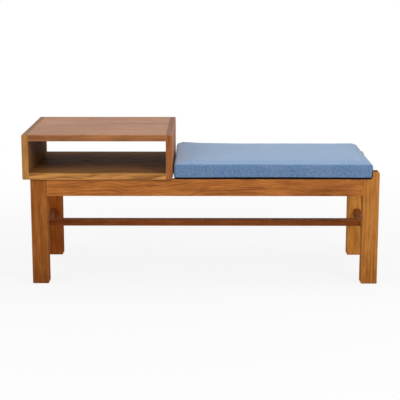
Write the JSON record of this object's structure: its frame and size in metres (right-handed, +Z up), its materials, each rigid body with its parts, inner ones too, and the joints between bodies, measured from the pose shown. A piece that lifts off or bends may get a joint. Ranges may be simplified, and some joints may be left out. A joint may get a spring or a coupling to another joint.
{
  "type": "telephone bench",
  "caption": "Low oak bench with an open box shelf over one end, a loose upholstered seat cushion over the rest, and low stretchers between its legs.",
  "frame": {"origin": "on the floor, under the middle of the bench's bounding box", "axes": "+X along the bench towards the cushion end, +Y from the front to the back, +Z up"},
  "size_m": [1.2, 0.474, 0.514],
  "materials": {
    "oak_frame": "oiled oak, satin",
    "oak_box": "oiled oak, satin",
    "bearer_wood": "planed beech, bare",
    "screw_steel": "zinc plated",
    "blue_wool": "wool melange, matt",
    "foam": "open cell foam",
    "plywood": "bare birch plywood",
    "black_lining": "black lining cloth, matt"
  },
  "bodies": {
    "frame": {"front_left_leg": "oak_frame", "back_left_leg": "oak_frame", "front_right_leg": "oak_frame", "back_right_leg": "oak_frame", "front_long_rail": "oak_frame", "back_long_rail": "oak_frame", "left_end_rail": "oak_frame", "right_end_rail": "oak_frame", "left_side_stretcher": "oak_frame", "right_side_stretcher": "oak_frame", "long_stretcher": "oak_frame", "box_left_side": "oak_box", "box_right_side": "oak_box", "box_top_board": "oak_box", "box_bottom_board": "oak_box", "bearer_1": "bearer_wood", "bearer_2": "bearer_wood", "bearer_3": "bearer_wood", "bearer_4": "bearer_wood", "bearer_5": "bearer_wood", "bearer_screws": "screw_steel", "box_screws": "screw_steel"},
    "cushion": {"cushion_cover": "blue_wool", "cushion_foam": "foam", "cushion_board": "plywood", "cushion_lining": "black_lining"}
  },
  "joints": [
    {"name": "cushion_lift", "type": "slide", "parent": "frame", "child": "cushion", "axis": [0, 0, 1], "range_m": [0, 0.16]}
  ]
}
